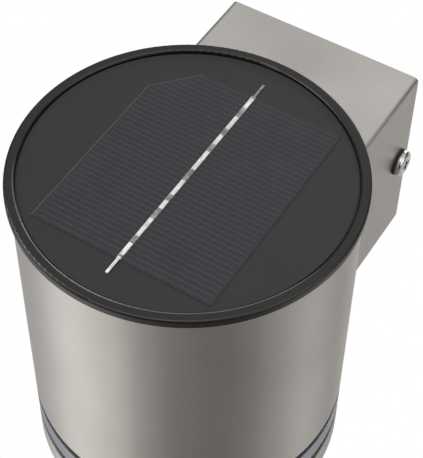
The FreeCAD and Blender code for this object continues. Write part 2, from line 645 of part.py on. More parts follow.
def make_core():
    body = turned("core_housing", [
        ("0", CEILING), (CORE_BORE, CEILING), (CORE_BORE, CORE_BOTTOM),
        (CORE_RADIUS, CORE_BOTTOM), (CORE_RADIUS, DECK), ("0", DECK)])
    ears = []
    for level, thickness in ((POST_END, "Size.ear_thickness"),
                             (f"{CORE_BOTTOM} + Size.lower_ear_height", "Size.lower_ear_height")):
        ear = new_sketch(body, "XY", level)
        add_loop(ear, ear_corners())
        ears.append(pad(ear, thickness, reverse=True))
    hole_sketch = new_sketch(body, "XY", EAR_UNDER)
    add_circle(hole_sketch, "0", EAR_RING, "Size.small_screw_radius + Size.bolt_gap")
    ears.append(cut(hole_sketch, "Size.ear_thickness * 4"))
    pilot_sketch = new_sketch(body, "XY", CORE_BOTTOM)
    add_circle(pilot_sketch, "0", EAR_RING, "Size.small_screw_radius")
    ears.append(cut(pilot_sketch, "Size.lower_ear_height * 1.6"))
    repeat_around(body, 3, ears)
    bosses = new_sketch(body, "XY", CEILING)
    add_circle(bosses, "0", CIRCUIT_SCREW_RING, "Size.small_head_radius")
    boss = pad(bosses, "Size.circuit_gap", reverse=True)
    pilot = new_sketch(body, "XY", CEILING)
    add_circle(pilot, "0", CIRCUIT_SCREW_RING, "Size.small_screw_radius")
    pilot_hole = cut(pilot, "Size.core_wall * 1.4")
    repeat_around(body, 3, [boss, pilot_hole])
    ribs = new_sketch(body, "XY", f"{SWITCH_LEVEL} - Size.switch_height / 2")
    for side in ("-", ""):
        middle = f"{side}(Size.switch_width + Size.core_wall) / 2"
        depth = f"({CORE_RADIUS} - {SWITCH_FRONT} + Size.switch_depth - Size.core_wall)"
        add_loop(ribs, box_corners(middle, f"-({SWITCH_FRONT} - Size.switch_depth) - {depth} / 2",
                                   "Size.core_wall", depth))
    pad(ribs, "Size.switch_height")
    window = new_sketch(body, "XZ", CORE_RADIUS)
    add_loop(window, box_corners("Size.switch_travel / 2", SWITCH_LEVEL,
                                 "Size.lever_width + Size.switch_travel + Size.lever_gap * 2",
                                 "Size.lever_height + Size.lever_gap * 2"))
    cut(window, "Size.core_wall * 4")
    wires = new_sketch(body, "XY", DECK)
    add_circle(wires, "0", f"{BOARD_RADIUS} * 0.3", "Size.wire_hole_radius")
    cut(wires, "Size.core_wall * 3")

    fit = f"({CORE_BORE} - Size.cover_fit)"
    cover = turned("core_cover", [
        ("0", COVER_UNDER), (CORE_RADIUS, COVER_UNDER), (CORE_RADIUS, CORE_BOTTOM),
        (fit, CORE_BOTTOM), (fit, f"{CORE_BOTTOM} + Size.cover_spigot"),
        (f"{fit} - Size.core_wall", f"{CORE_BOTTOM} + Size.cover_spigot"),
        (f"{fit} - Size.core_wall", CORE_BOTTOM), ("0", CORE_BOTTOM)])
    ear_sketch = new_sketch(cover, "XY", CORE_BOTTOM)
    add_loop(ear_sketch, ear_corners())
    cover_ear = pad(ear_sketch, "Size.cover_thickness", reverse=True)
    ear_hole = new_sketch(cover, "XY", CORE_BOTTOM)
    add_circle(ear_hole, "0", EAR_RING, "Size.small_screw_radius + Size.bolt_gap")
    cone_hole = new_sketch(cover, "XY", COVER_UNDER)
    add_circle(cone_hole, "0", CONE_SCREW_RING, "Size.small_screw_radius")
    repeat_around(cover, 3, [cover_ear, cut(ear_hole, "Size.cover_thickness * 3"),
                             cut(cone_hole, "Size.cover_thickness * 1.6")])
    lead_hole = new_sketch(cover, "XY", CORE_BOTTOM)
    add_circle(lead_hole, "0", "Size.led_board_radius / 2", "Size.wire_hole_radius")
    cut(lead_hole, "Size.cover_thickness * 3")


def make_core_screws():
    small = ("Size.small_head_radius", "Size.small_head_height")
    ear = ("0", EAR_RING)
    groups = [("core_screws", EAR_UNDER, ear, "Size.ear_thickness + Size.post_length * 0.7"),
              ("cover_screws", COVER_UNDER, ear, "Size.cover_thickness + Size.lower_ear_height * 0.7"),
              ("circuit_screws", CIRCUIT_UNDER, ("0", CIRCUIT_SCREW_RING),
               "Size.circuit_thickness + Size.circuit_gap"),
              ("cone_screws", f"{COVER_UNDER} - Size.cone_flange_thickness", ("0", CONE_SCREW_RING),
               "Size.cone_flange_thickness + Size.cover_thickness * 0.7")]
    for label, seat, spot, length in groups:
        body = screw(label, "XY", seat, spot, "Size.small_screw_radius", length, *small, head_up=False)
        repeat_around(body, 3)


def make_circuit():
    body = turned("circuit_board", ring_corners("0", CIRCUIT_RADIUS, CIRCUIT_UNDER, CIRCUIT_TOP))
    hole_sketch = new_sketch(body, "XY", CIRCUIT_TOP)
    add_circle(hole_sketch, "0", CIRCUIT_SCREW_RING, "Size.small_screw_radius")
    repeat_around(body, 3, [cut(hole_sketch, "Size.circuit_thickness * 3")])

    chip = new_body("control_chip")
    chip_sketch = new_sketch(chip, "XY", CIRCUIT_UNDER)
    add_loop(chip_sketch, box_corners("-Size.chip_length * 2", "Size.chip_length * 2",
                                      "Size.chip_length", "Size.chip_width"))
    pad(chip_sketch, "Size.chip_height", reverse=True)
    for label, side, radius, height in (
            ("inductor", "", "Size.inductor_radius", "Size.inductor_height"),
            ("capacitor", "-", "Size.capacitor_radius", "Size.capacitor_height")):
        can = new_body(label)
        can_sketch = new_sketch(can, "XY", CIRCUIT_UNDER)
        place = (f"{side}{CIRCUIT_RADIUS} / 3", f"{CIRCUIT_RADIUS} * 0.6")
        add_circle(can_sketch, *place, radius)
        pad(can_sketch, height, reverse=True)


def make_battery():
    body = new_body("battery")
    sketch = new_sketch(body, "YZ", minus(BATTERY_END))
    place = ("-Size.battery_offset", BATTERY_LEVEL)
    add_circle(sketch, *place, "Size.battery_radius")
    pad(sketch, f"{BATTERY_END} * 2 - Size.battery_nipple")
    nipple = new_sketch(body, "YZ", BATTERY_END)
    add_circle(nipple, *place, "Size.battery_nipple_radius")
    pad(nipple, "Size.battery_nipple", reverse=True)

    end = BATTERY_END
    leaf = "Size.contact_thickness"
    low = f"{BATTERY_LEVEL} - Size.battery_radius / 2"
    bend = f"{BATTERY_LEVEL} + Size.battery_radius"
    shapes = {
        "positive_contact": [(end, low), (f"{end} + {leaf}", low), (f"{end} + {leaf}", CIRCUIT_UNDER),
                             (end, CIRCUIT_UNDER)],
        "negative_contact": [(f"-({end} + {leaf})", low), (minus(end), low),
                             (f"-({end} + Size.contact_lean)", bend),
                             (f"-({end} + Size.contact_lean)", CIRCUIT_UNDER),
                             (f"-({end} + Size.contact_lean + {leaf})", CIRCUIT_UNDER),
                             (f"-({end} + Size.contact_lean + {leaf})", bend)]}
    for label, corners in shapes.items():
        contact = new_body(label)
        contact_sketch = new_sketch(contact, "XZ", "Size.battery_offset")
        add_loop(contact_sketch, corners)
        pad(contact_sketch, "Size.contact_width", symmetric=True)


def wires(label, spread, y, bottom, top):
    """A pair of short upright leads."""
    body = new_body(label)
    sketch = new_sketch(body, "XY", bottom)
    for side in ("-", ""):
        add_circle(sketch, f"{side}({spread})", y, "Size.wire_radius")
    pad(sketch, f"{top} - {bottom}")


def make_wires():
    wires("panel_leads", "Size.wire_spread", f"{BOARD_RADIUS} * 0.3", CIRCUIT_TOP, BOARD_BOTTOM)
    wires("led_leads", "Size.wire_spread", "Size.led_board_radius / 2", COVER_UNDER, CIRCUIT_UNDER)
    wires("switch_leads", "Size.wire_spread * 2", f"-({SWITCH_FRONT} - Size.switch_depth * 0.7)",
          f"({SWITCH_LEVEL} + Size.switch_height / 2)", CIRCUIT_UNDER)


def make_switch():
    """A slide switch behind a window in the core's wall; its lever is the only piece that slides."""
    back = f"({SWITCH_FRONT} - Size.switch_depth)"
    middle = f"-({back} + Size.switch_depth / 2)"
    body = new_body("switch_body")
    sketch = new_sketch(body, "XY", f"{SWITCH_LEVEL} - Size.switch_height / 2")
    add_loop(sketch, box_corners("0", middle, "Size.switch_width", "Size.switch_depth"))
    pad(sketch, "Size.switch_height")
    slot = new_sketch(body, "XZ", SWITCH_FRONT)
    add_loop(slot, box_corners("Size.switch_travel / 2", SWITCH_LEVEL,
                               "Size.lever_width + Size.switch_travel + Size.lever_gap * 2",
                               "Size.lever_height + Size.lever_gap * 2"))
    cut(slot, "Size.switch_depth")

    lever = new_body("switch_lever")
    lever_sketch = new_sketch(lever, "XZ", f"{SWITCH_FRONT} - Size.switch_depth / 2 + Size.lever_gap")
    add_loop(lever_sketch, box_corners("0", SWITCH_LEVEL, "Size.lever_width", "Size.lever_height"))
    reach = f"{CORE_RADIUS} + Size.lever_stand - {SWITCH_FRONT}"
    pad(lever_sketch, f"{reach} + Size.switch_depth / 2 - Size.lever_gap")


def make_light():
    turned("led_board", ring_corners("0", "Size.led_board_radius", LED_BOARD_UNDER, COVER_UNDER))
    leds = new_body("leds")
    sketch = new_sketch(leds, "XY", LED_BOARD_UNDER)
    add_loop(sketch, box_corners("0", "Size.led_ring", "Size.led_side", "Size.led_side"))
    pad(sketch, "Size.led_height", reverse=True)
    repeat_around(leds, 4)

    flange = f"({COVER_UNDER} - Size.cone_flange_thickness)"
    cone = turned("reflector", [
        (CONE_TOP, COVER_UNDER), (CONE_TOP, flange), (f"{CORE_RADIUS} - Size.cone_wall", CONE_BOTTOM),
        (CORE_RADIUS, CONE_BOTTOM), (f"{CONE_TOP} + Size.cone_wall", flange),
        (CONE_FLANGE, flange), (CONE_FLANGE, COVER_UNDER)])
    hole_sketch = new_sketch(cone, "XY", COVER_UNDER)
    add_circle(hole_sketch, "0", CONE_SCREW_RING, "Size.small_screw_radius")
    repeat_around(cone, 3, [cut(hole_sketch, "Size.cone_flange_thickness * 2.2")])


make_wall_plate()
make_bracket_box()
make_side_fixings()
make_saddle()
make_tube()
make_lens()
make_lower_pieces()
make_cap()
make_panel()
make_core()
make_core_screws()
make_circuit()
make_battery()
make_wires()
make_switch()
make_light()
document.recompute()

for item in document.Objects:
    if "Invalid" in item.State or "Error" in item.State:
        raise RuntimeError(f"{item.Label} failed: {item.State}")
for part in parts:
    if part.Shape.isNull() or not part.Shape.isValid():
        raise RuntimeError(f"{part.Label} has no valid shape")
os.makedirs("parts", exist_ok=True)
for part in parts:
    part.Shape.exportStep(f"parts/{part.Label}.step")
    print(f"{part.Label}: {len(part.Shape.Solids)} solid(s), {part.Shape.Volume:.1f} cubic mm")
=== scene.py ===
# %% [markdown]
# # A solar fence light, dressed for its picture
#
# The lamp is a brushed steel tube on a folded steel bracket, with a black moulded head that carries a
# small solar panel. Every piece already exists at its real size in the frame, so this script gives each
# one its finish and adds only the fine pieces that the solids leave out: the silver fingers on the cell, a
# painted highlight along the edge of its silicon, the solder on the ribbon with its shine painted, and a
# painted reflection on the rim. Lengths are metres, and a value whose name ends in _MM is in millimetres.

# %% Load the frame
import json
import math
import bmesh
import bpy
from mathutils import Matrix, Vector


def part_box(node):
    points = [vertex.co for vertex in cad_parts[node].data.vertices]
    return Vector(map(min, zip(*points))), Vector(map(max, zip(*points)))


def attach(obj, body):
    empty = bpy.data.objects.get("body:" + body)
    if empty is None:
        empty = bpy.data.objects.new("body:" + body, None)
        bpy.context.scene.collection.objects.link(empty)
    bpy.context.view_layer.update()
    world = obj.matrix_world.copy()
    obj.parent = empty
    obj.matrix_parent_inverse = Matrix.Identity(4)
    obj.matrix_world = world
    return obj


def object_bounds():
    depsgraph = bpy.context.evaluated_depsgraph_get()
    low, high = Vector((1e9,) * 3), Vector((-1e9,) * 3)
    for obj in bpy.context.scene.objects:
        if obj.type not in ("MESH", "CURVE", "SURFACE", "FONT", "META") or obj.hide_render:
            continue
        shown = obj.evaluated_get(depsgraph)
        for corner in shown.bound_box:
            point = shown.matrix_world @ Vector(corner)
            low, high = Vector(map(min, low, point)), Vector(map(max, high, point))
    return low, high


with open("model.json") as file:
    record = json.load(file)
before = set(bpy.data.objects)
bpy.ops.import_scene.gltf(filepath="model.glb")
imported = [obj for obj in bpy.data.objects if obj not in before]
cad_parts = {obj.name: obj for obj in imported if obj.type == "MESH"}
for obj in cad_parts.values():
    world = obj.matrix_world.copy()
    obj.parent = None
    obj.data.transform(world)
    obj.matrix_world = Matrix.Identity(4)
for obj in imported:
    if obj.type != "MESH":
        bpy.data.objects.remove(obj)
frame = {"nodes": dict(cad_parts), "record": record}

MM = 0.001
cad_low, cad_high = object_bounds()
nodes = frame["nodes"]
print("pieces in the frame:", len(nodes))

# %% [markdown]
# ## Where things are
#
# Each piece that is added here sits on a piece of the model. Its place could be typed in as numbers, but
# then it would stay behind when the model changes, so it is read from the box of the node that it sits on.
# Only what a box can't tell, such as how the cell's corner is cut, is written again as a value, in the
# cell that needs it.

# %% Measure the frame
def middle(name):
    """The centre of a node's box."""
    low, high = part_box(name)
    return (low + high) / 2


def half_width(name):
    """Half of a node's box from left to right, which is the radius of a round one."""
    low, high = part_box(name)
    return (high.x - low.x) / 2


axis_place = Vector((0, middle("tube_shell").y, 0))
print("the lamp's axis stands at y =", round(axis_place.y / MM, 1), "mm")

# %% [markdown]
# ## One way to write a material
#
# A finish is a small network: textures that change colour, roughness and relief, and one Principled shader
# that turns them into light. It could be clicked together in the shader editor, but written down it can be
# read from top to bottom and used again. `tone` turns an sRGB hex colour, as one reads it off a swatch,
# into the linear light that a shader works with. `add` puts in one node of any kind, sets it and links it.
# `surface` ends every network in the same way: one texture picks between two tones, one sets the
# roughness, and one lifts the surface.

# %% Material helpers
FINE_SHARE = 0.55             # how much each finer layer of a noise counts


def tone(hex_colour):
    """A linear colour from an sRGB hex colour such as 8C8C8C."""
    channels = [int(hex_colour[i:i + 2], 16) / 255 for i in (0, 2, 4)]
    linear = [c / 12.92 if c <= 0.04045 else ((c + 0.055) / 1.055) ** 2.4 for c in channels]
    return (*linear, 1.0)


def add(material, kind, settings=None, **inputs):
    """Adds one node of any kind.

    An input is named by its label, with _ for a space, or by i and its number. It is given a plain value,
    or a (node, output) pair to link from.
    """
    tree = material.node_tree
    node = tree.nodes.new(kind)
    for name, setting in (settings or {}).items():
        setattr(node, name, setting)
    for name, given in inputs.items():
        socket = node.inputs[int(name[1:])] if name[1:].isdigit() else node.inputs[name.replace("_", " ")]
        if isinstance(given, tuple) and isinstance(given[0], bpy.types.Node):
            tree.links.new(given[0].outputs[given[1]], socket)
        else:
            socket.default_value = given
    return node


def new_material(name, **constants):
    """A material with its Principled shader; the constants are set on the shader's own sockets."""
    material = bpy.data.materials.new(name)
    material.use_nodes = True
    shader = material.node_tree.nodes["Principled BSDF"]
    for socket, number in constants.items():
        shader.inputs[socket.replace("_", " ")].default_value = number
    return material, shader


def feed(material, shader, **sources):
    """Links (node, output) pairs to sockets of the shader."""
    for socket, (node, output) in sources.items():
        material.node_tree.links.new(node.outputs[output], shader.inputs[socket.replace("_", " ")])


def surface(material, shader, colour_by, tones, rough_by, roughness, relief_by, relief_mm, edges=(0.3, 0.7)):
    """Ends a network. Each _by is a (node, output) pair. Tones, roughness and edges are (low, high)."""
    ramp = add(material, "ShaderNodeValToRGB", Fac=colour_by)
    for stop, place, hex_colour in zip(ramp.color_ramp.elements, edges, tones):
        stop.position = place
        stop.color = tone(hex_colour)
    rough = add(material, "ShaderNodeMapRange", Value=rough_by, To_Min=roughness[0], To_Max=roughness[1])
    relief = add(material, "ShaderNodeBump", Height=relief_by, Distance=relief_mm * MM)
    feed(material, shader, Base_Color=(ramp, "Color"), Roughness=(rough, "Result"),
         Normal=(relief, "Normal"))
    return relief


print("material helpers ready")

# %% [markdown]
# ## Brushed stainless steel
#
# The tube, the end ring and the bracket are austenitic stainless steel. A grit belt leaves hair-fine
# grooves in it, about a tenth of a millimetre apart and several millimetres long. Across the grooves light
# spreads wide, and along them it stays sharper, so the tube shows soft bright and dark bands that run down
# its length.
#
# The grooves could be cut into the mesh, which would need millions of faces. A noise that is stretched
# along them gives the same to the eye. On the tube they run round it, so the noise is laid on its wall as
# if that were unrolled, and on the bracket they run away from the wall. They are drawn about three times
# as coarse as they are, so that a picture of this size can show them.

# %% Steel
GROOVE_MM = 0.3               # from one groove to the next
GROOVE_LENGTH_MM = 14.0
GROOVE_HEIGHT_MM = 0.002
CLOUD_MM = 30.0               # slow changes of tone over the sheet
GROOVES_SMOOTHER = 0.05       # how far the grooves change the roughness each way
GROOVES_ROUGHER = 0.07


def brushed_steel(name, tones, roughness, along=None):
    """Steel whose grooves run along one axis, or round the lamp if no axis is given."""
    wrapped = along is None
    material, shader = new_material(name, Metallic=1.0, Anisotropic=0.75 if wrapped else 0.3,
                                    Anisotropic_Rotation=0.25 if wrapped else 0.0)
    across = 1 / (GROOVE_MM * MM)
    lengthwise = 1 / (GROOVE_LENGTH_MM * MM)
    here = add(material, "ShaderNodeTexCoord")
    if wrapped:
        centred = add(material, "ShaderNodeVectorMath", {"operation": "SUBTRACT"}, i0=(here, "Object"),
                      i1=tuple(axis_place))
        parts = add(material, "ShaderNodeSeparateXYZ", Vector=(centred, "Vector"))
        angle = add(material, "ShaderNodeMath", {"operation": "ARCTAN2"}, i0=(parts, "Y"), i1=(parts, "X"))
        round_way = add(material, "ShaderNodeMath", {"operation": "MULTIPLY"}, i0=(angle, "Value"),
                        i1=half_width("tube_shell"))
        unrolled = add(material, "ShaderNodeCombineXYZ", X=(round_way, "Value"), Z=(parts, "Z"))
        place = (unrolled, "Vector")
        stretch = (lengthwise, 1, across)
        tangent = add(material, "ShaderNodeTangent", {"direction_type": "RADIAL", "axis": "Z"})
        feed(material, shader, Tangent=(tangent, "Tangent"))
    else:
        place = (here, "Object")
        stretch = tuple(lengthwise if axis == along else across for axis in "XYZ")
    stretched = add(material, "ShaderNodeMapping", Vector=place, Scale=stretch)
    grooves = add(material, "ShaderNodeTexNoise", Vector=(stretched, "Vector"), Scale=1.0, Detail=3.0,
                  Roughness=0.6)
    clouds = add(material, "ShaderNodeTexNoise", Vector=place, Scale=1 / (CLOUD_MM * MM), Detail=2.0,
                 Roughness=FINE_SHARE)
    both = add(material, "ShaderNodeMath", {"operation": "ADD"}, i0=(grooves, "Fac"), i1=(clouds, "Fac"))
    mean = add(material, "ShaderNodeMath", {"operation": "MULTIPLY"}, i0=(both, "Value"), i1=0.5)
    surface(material, shader, colour_by=(mean, "Value"), tones=tones, edges=(0.35, 0.65),
            rough_by=(grooves, "Fac"), roughness=(roughness - GROOVES_SMOOTHER, roughness + GROOVES_ROUGHER),
            relief_by=(grooves, "Fac"), relief_mm=GROOVE_HEIGHT_MM)
    return material


# The tube shows clear bands, the end ring softer ones, and the bracket is even and dull.
tube_steel = brushed_steel("brushed_stainless_tube", ("BEBBB9", "CDCAC8"), 0.3)
ring_steel = brushed_steel("brushed_stainless_ring", ("C3C1C0", "CFCDCC"), 0.34)
bracket_steel = brushed_steel("brushed_stainless_sheet", ("C1BFBC", "CDCBC8"), 0.4, along="Y")
print("steels:", tube_steel.name, ring_steel.name, bracket_steel.name)

# %% [markdown]
# ## Small metals
#
# The screws of the bracket and the saddle are plated and polished. The hidden plates and the other screws
# are zinc plated, which is duller and a little mottled where the crystals differ, and the battery's
# contacts are nickel-plated strip. A plating could be a flat colour with one roughness, but then a large
# one looks lifeless, so a noise as wide as the mottle changes its tone and its gloss together.

# %% Plated metals
PLATING_RELIEF_MM = 0.002
MOTTLE_SWING = 1.25           # the dullest spots are rougher by this factor, and the brightest smoother


def plated(name, tones, roughness, mottle_mm):
    """A plated metal, mottled in tone and gloss."""
    material, shader = new_material(name, Metallic=1.0)
    here = add(material, "ShaderNodeTexCoord")
    mottle = add(material, "ShaderNodeTexNoise", Vector=(here, "Object"), Scale=1 / (mottle_mm * MM),
                 Detail=4.0, Roughness=FINE_SHARE)
    surface(material, shader, colour_by=(mottle, "Fac"), tones=tones, rough_by=(mottle, "Fac"),
            roughness=(roughness / MOTTLE_SWING, roughness * MOTTLE_SWING), relief_by=(mottle, "Fac"),
            relief_mm=PLATING_RELIEF_MM)
    return material


polished_plate = plated("polished_chrome_plate", ("D2D2D2", "DEDEDE"), 0.1, 3.0)     # near a mirror
zinc_plate = plated("zinc_plate", ("A9ABAD", "BFC1C2"), 0.34, 1.2)                   # cool, dull bright
nickel_strip = plated("nickel_plated_strip", ("B5B0A6", "C6C2B9"), 0.25, 1.5)        # slightly yellow
print("plated metals ready")

# %% [markdown]
# ## Moulded plastics, rubber and coatings
#
# The head is injection-moulded ABS. A spark-eroded mould leaves a fine matt grain on it, which is drawn
# half a millimetre wide so that it shows, and over that the gloss changes slowly, as it does on any
# handled plastic. ABS has an index near 1.53. Rubber, glue, board masks, wraps and wire differ from it
# only in colour, grain, gloss and index. Each could have a network of its own, but one recipe with other
# values keeps them alike in scale.

# %% Plastics and rubber
PATCH_MM = 22.0               # slow changes of tone and gloss over a moulding
PATCH_SWING = 0.05            # how far they change the roughness each way


def moulded(name, tones, roughness, grain_mm, relief_mm, ior=1.53):
    """A moulded or coated surface: a fine grain in relief, under slow patches of tone and gloss."""
    material, shader = new_material(name, IOR=ior)
    here = add(material, "ShaderNodeTexCoord")
    grain = add(material, "ShaderNodeTexNoise", Vector=(here, "Object"), Scale=1 / (grain_mm * MM),
                Detail=2.0, Roughness=FINE_SHARE)
    patches = add(material, "ShaderNodeTexNoise", Vector=(here, "Object"), Scale=1 / (PATCH_MM * MM),
                  Detail=3.0, Roughness=FINE_SHARE)
    surface(material, shader, colour_by=(patches, "Fac"), tones=tones, rough_by=(patches, "Fac"),
            roughness=(roughness - PATCH_SWING, roughness + PATCH_SWING), relief_by=(grain, "Fac"),
            relief_mm=relief_mm)
    return material


# The cap, the core and its cover: a deep, slightly warm black with a satin grain.
black_abs = moulded("black_moulded_abs", ("0A0909", "0F0E0D"), 0.34, 0.5, 0.012)
# The painted reflection on the rim, which its own cell explains: a smooth mid grey.
rim_reflection_paint = moulded("painted_reflection_mid_grey", ("545454", "666666"), 0.25, 0.9, 0.003)
# The reflector and the switch's lever: a warm, glossy white.
white_abs = moulded("white_moulded_abs", ("DEDDD8", "E8E7E3"), 0.3, 0.8, 0.004)
# Sleeves, seals and washers: a dull, greyer black.
black_rubber = moulded("black_silicone_rubber", ("1B1B1B", "242424"), 0.6, 0.7, 0.01, ior=1.43)
# The chip and the coil: a flat charcoal.
black_epoxy = moulded("black_moulding_epoxy", ("1E1E1F", "272728"), 0.5, 0.4, 0.01, ior=1.55)
# The bond under the panel: milky, with slow waves.
clear_glue = moulded("milky_silicone_adhesive", ("C9C8C0", "D8D7D0"), 0.45, 2.0, 0.05, ior=1.41)
# The boards: lacquer over glass cloth in green and white, and bare black for the panel's board.
green_mask = moulded("green_solder_mask", ("14562F", "1B6639"), 0.28, 1.5, 0.004)
white_mask = moulded("white_solder_mask", ("E4E4E0", "EEEEEB"), 0.3, 1.5, 0.004)
glass_epoxy = moulded("black_glass_epoxy", ("191B1A", "222524"), 0.4, 0.9, 0.01, ior=1.55)
# Shrunk and drawn plastic skins: glossy and strongly coloured.
blue_sleeve = moulded("blue_shrink_sleeve", ("1D2550", "26306A"), 0.25, 4.0, 0.01)
green_wrap = moulded("green_shrink_wrap", ("2C7A3E", "37904B"), 0.25, 5.0, 0.01)
red_wire = moulded("red_wire_insulation", ("A01D1D", "B52525"), 0.3, 1.0, 0.003)
# The gel over the LED chips: a full yellow.
phosphor = moulded("yellow_phosphor_gel", ("E2C23C", "EDD257"), 0.25, 0.6, 0.01, ior=1.41)
print("plastics ready")

# %% [markdown]
# ## Clear polycarbonate
#
# The lens is moulded polycarbonate with a slightly frosted skin and an index of 1.585. It has a cool cast,
# and faint streaks run round it from the way that the plastic filled its mould. A glass shader alone would
# be the obvious choice, but light that is bent through the nested walls of a hollow lamp comes out dark.
# So a little over half of its look is rough transmission, and the rest is a pale, bluish grey body colour.

# %% Lens plastic
FROST_MM = 1.2
STREAK_LENGTH_MM = 16.7
STREAK_HEIGHT_MM = 1.11
FROST_RELIEF_MM = 0.01
FROST_ROUGHNESS = (0.28, 0.38)

lens_plastic, lens_shader = new_material("frosted_polycarbonate", IOR=1.585, Transmission_Weight=0.55)
lens_here = add(lens_plastic, "ShaderNodeTexCoord")
frost = add(lens_plastic, "ShaderNodeTexNoise", Vector=(lens_here, "Object"), Scale=1 / (FROST_MM * MM),
            Detail=3.0, Roughness=FINE_SHARE)
streak_sizes_mm = (STREAK_LENGTH_MM, STREAK_LENGTH_MM, STREAK_HEIGHT_MM)
stretched = add(lens_plastic, "ShaderNodeMapping", Vector=(lens_here, "Object"),
                Scale=tuple(1 / (size * MM) for size in streak_sizes_mm))
streaks = add(lens_plastic, "ShaderNodeTexNoise", Vector=(stretched, "Vector"), Scale=1.0, Detail=4.0,
              Roughness=FINE_SHARE)
surface(lens_plastic, lens_shader, colour_by=(streaks, "Fac"), tones=("A8AEBA", "BEC4CE"),
        rough_by=(frost, "Fac"), roughness=FROST_ROUGHNESS, relief_by=(frost, "Fac"),
        relief_mm=FROST_RELIEF_MM)
print("lens plastic ready")

# %% [markdown]
# ## The solar panel's finishes
#
# The panel is a laminate: a black sheet, an etched silicon cell and a tinned copper ribbon, all under one
# textured clear film. The film could be a clear disc over the whole panel, but light that crosses so thin
# a disc renders noisily. So the film is a coat in each material: all have the same weak, dimpled coat, and
# under it tone, grain and gloss differ. The cell is blue-black, and its tone hardly changes from place to
# place.

# %% Panel finishes
FILM_DIMPLE_MM = 0.8
FILM_RELIEF_MM = 0.012
FILM_SWING = 0.04             # how far the grain changes the roughness each way


def under_film(name, tones, grain_mm, roughness, **constants):
    """A surface seen through the panel's dimpled film."""
    material, shader = new_material(name, IOR=1.5, Coat_Weight=0.15, Coat_Roughness=0.42, Coat_IOR=1.49,
                                    **constants)
    here = add(material, "ShaderNodeTexCoord")
    grain = add(material, "ShaderNodeTexNoise", Vector=(here, "Object"), Scale=1 / (grain_mm * MM),
                Detail=4.0, Roughness=FINE_SHARE)
    dimples = add(material, "ShaderNodeTexNoise", Vector=(here, "Object"), Scale=1 / (FILM_DIMPLE_MM * MM),
                  Detail=1.0, Roughness=FINE_SHARE)
    relief = surface(material, shader, colour_by=(grain, "Fac"), tones=tones, rough_by=(grain, "Fac"),
                     roughness=(roughness - FILM_SWING, roughness + FILM_SWING), relief_by=(dimples, "Fac"),
                     relief_mm=FILM_RELIEF_MM)
    feed(material, shader, Coat_Normal=(relief, "Normal"))
    return material


# The sheet is a neutral black and the cell a blue-black. The silver and the silicon's edge are grey lines,
# and the edge's grey is a painted highlight.
sheet_black = under_film("black_panel_laminate", ("1B1B1C", "202021"), 14.0, 0.5)
cell_silicon = under_film("etched_silicon_cell", ("1C1B22", "22212A"), 9.0, 0.48)
cell_silver = under_film("screen_printed_silver", ("48484E", "5A5A60"), 2.0, 0.45, Metallic=0.3)
edge_highlight_paint = under_film("painted_edge_highlight_grey", ("56565C", "66666C"), 5.0, 0.45)
# The tin is a mottled grey where the ribbon is bare, and near white where it was soldered: that near white
# is a painted shine on the flat, melted tin.
ribbon_tin = under_film("tinned_copper_ribbon", ("5E5E5C", "B8B8B4"), 1.6, 0.3, Metallic=0.35)
solder_with_painted_shine = under_film("soldered_tin_painted_shine", ("C8C8C6", "FFFFFD"), 1.4, 0.3, Metallic=0.15)
print("panel finishes ready")

# %% [markdown]
# ## Dress the nodes
#
# Each node keeps its mesh and only gets a finish. That could be set node by node, but the record already
# says which material slot a node has, so one table from slot to finish dresses them all.

# %% Assign the finishes
FINISHES = {
    "zinc_plated_steel": zinc_plate, "stainless_bracket": bracket_steel, "polished_screw": polished_plate,
    "stainless_tube": tube_steel, "stainless_ring": ring_steel, "clear_polycarbonate": lens_plastic,
    "black_rubber": black_rubber, "black_abs": black_abs, "adhesive": clear_glue,
    "black_glass_epoxy": glass_epoxy, "black_laminate": sheet_black, "silicon_cell": cell_silicon,
    "tinned_ribbon": ribbon_tin, "green_glass_epoxy": green_mask, "black_epoxy": black_epoxy,
    "capacitor_sleeve": blue_sleeve, "battery_wrap": green_wrap, "nickel_strip": nickel_strip,
    "wire_insulation": red_wire, "switch_metal": zinc_plate, "white_solder_mask": white_mask,
    "yellow_phosphor": phosphor, "white_abs": white_abs,
}
for subpart in frame["record"]["subparts"]:
    node = nodes[subpart["node"]]
    node.data.materials.clear()
    node.data.materials.append(FINISHES[subpart["material_slot"]])

# %% [markdown]
# ## The silver on the cell
#
# A cell's front carries screen-printed silver: thin fingers that gather the current, one every 1.62 mm,
# and a busbar under the ribbon. The fingers could be stripes in the cell's material, but then they would
# be missing from an export of the shapes, so they are one mesh of low flat strips. Each starts just inside
# the cell's own outline, so the ones at the cut corner are shorter, as the real ones are.

# %% Fingers
FINGER_PITCH = 1.62 * MM
FINGER_WIDTH = 0.13 * MM
FINGER_RISE = 0.02 * MM
EDGE_MARGIN = 0.7 * MM        # bare silicon round the fingers
CUT_WIDTH = 10.3 * MM         # the cut corner, from left to right
CUT_LENGTH = 11.4 * MM        # the cut corner, from front to back

cell_low, cell_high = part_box("solar_cell")
cut_start = cell_high.y - CUT_LENGTH


def left_edge_at(y):
    """The cell's left edge at a place along it, moved in where the corner is cut."""
    into_cut = max(0.0, y - cut_start)
    return cell_low.x + into_cut * CUT_WIDTH / CUT_LENGTH


def add_bar(mesh, low, high):
    """A box between two corners."""
    corners = [mesh.verts.new((x, y, z)) for x in (low[0], high[0]) for y in (low[1], high[1])
               for z in (low[2], high[2])]
    for face in ((0, 1, 3, 2), (4, 6, 7, 5), (0, 4, 5, 1), (2, 3, 7, 6), (0, 2, 6, 4), (1, 5, 7, 3)):
        mesh.faces.new([corners[i] for i in face])


def finish_piece(mesh, name, material, body):
    """Turns a bmesh into a named piece that rides on a body."""
    bmesh.ops.recalc_face_normals(mesh, faces=mesh.faces)
    data = bpy.data.meshes.new(name)
    mesh.to_mesh(data)
    mesh.free()
    piece = bpy.data.objects.new(name, data)
    bpy.context.scene.collection.objects.link(piece)
    data.materials.append(material)
    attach(piece, body)


